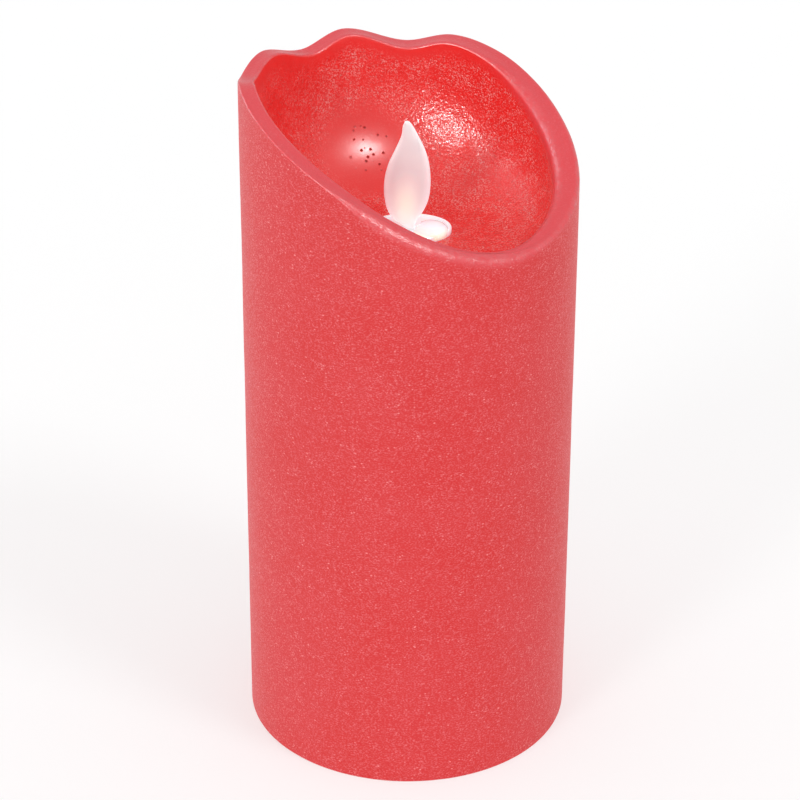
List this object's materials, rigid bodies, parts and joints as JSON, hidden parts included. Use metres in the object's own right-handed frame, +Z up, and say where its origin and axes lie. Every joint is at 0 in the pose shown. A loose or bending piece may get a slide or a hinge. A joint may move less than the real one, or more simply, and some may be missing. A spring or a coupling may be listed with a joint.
{
  "type": "flameless candle",
  "caption": "Flameless wax pillar candle with a wavy slanted rim, a scooped bowl and a hanging flame that sways on a wire, run from a battery bay in its base.",
  "frame": {"origin": "centre of the ring that the pillar stands on, at table level", "axes": "+Z up along the pillar; -Y is the low, front side of the rim, +X is to the right seen from the front"},
  "size_m": [0.08, 0.08, 0.1715],
  "materials": {
    "red_wax": "satin",
    "liner_plastic": "satin",
    "base_plastic": "satin",
    "tray_plastic": "satin",
    "case_plastic": "satin",
    "bezel_plastic": "gloss",
    "flame_plastic": "satin",
    "clear_lens": "gloss",
    "led_epoxy": "gloss",
    "screw_steel": "satin",
    "spring_steel": "gloss",
    "nickel_contact": "gloss",
    "magnet_nickel": "gloss",
    "cell_jacket": "satin",
    "switch_metal": "satin",
    "black_plastic": "satin",
    "copper_wire": "satin",
    "core_iron": "satin",
    "board_green": "satin",
    "chip_epoxy": "matte",
    "small_parts": "satin",
    "red_insulation": "satin",
    "black_insulation": "satin",
    "yellow_insulation": "satin",
    "white_insulation": "satin"
  },
  "bodies": {
    "pillar": {"wax_shell": "red_wax", "inner_liner": "liner_plastic", "liner_screws": "screw_steel", "base_plate": "base_plastic", "base_screws": "screw_steel", "battery_tray": "tray_plastic", "battery_front": "cell_jacket", "battery_rear": "cell_jacket", "bridge_contact": "nickel_contact", "contact_plate_front": "nickel_contact", "contact_plate_rear": "nickel_contact", "contact_spring_front": "spring_steel", "contact_spring_rear": "spring_steel", "switch_body": "switch_metal", "switch_screws": "screw_steel", "door_hinge_pin": "screw_steel", "mechanism_case_front": "case_plastic", "mechanism_case_rear": "case_plastic", "case_screws": "screw_steel", "flame_bezel": "bezel_plastic", "led_lens": "clear_lens", "led_lamp": "led_epoxy", "pivot_wire": "spring_steel", "coil_bobbin": "black_plastic", "coil_winding": "copper_wire", "coil_core": "core_iron", "control_board": "board_green", "controller_chip": "chip_epoxy", "board_parts": "small_parts", "board_screws": "screw_steel", "wire_battery_positive": "red_insulation", "wire_battery_negative": "black_insulation", "wires_switch": "yellow_insulation", "wires_led": "white_insulation", "wires_coil": "copper_wire"},
    "flame": {"flame": "flame_plastic", "flame_magnet": "magnet_nickel"},
    "switch": {"switch_knob": "black_plastic"},
    "door": {"battery_door": "base_plastic"}
  },
  "joints": [
    {"name": "flame_swing", "type": "hinge", "parent": "pillar", "child": "flame", "pos_m": [0, 0, 0.1275], "axis": [0, 1, 0], "range_deg": [-8, 8]},
    {"name": "switch_slide", "type": "slide", "parent": "pillar", "child": "switch", "axis": [1, 0, 0], "range_m": [-0.002, 0.002]},
    {"name": "door_hinge", "type": "hinge", "parent": "pillar", "child": "door", "pos_m": [-0.0266, 0, 0.0022], "axis": [0, 1, 0], "range_deg": [0, 95]}
  ]
}
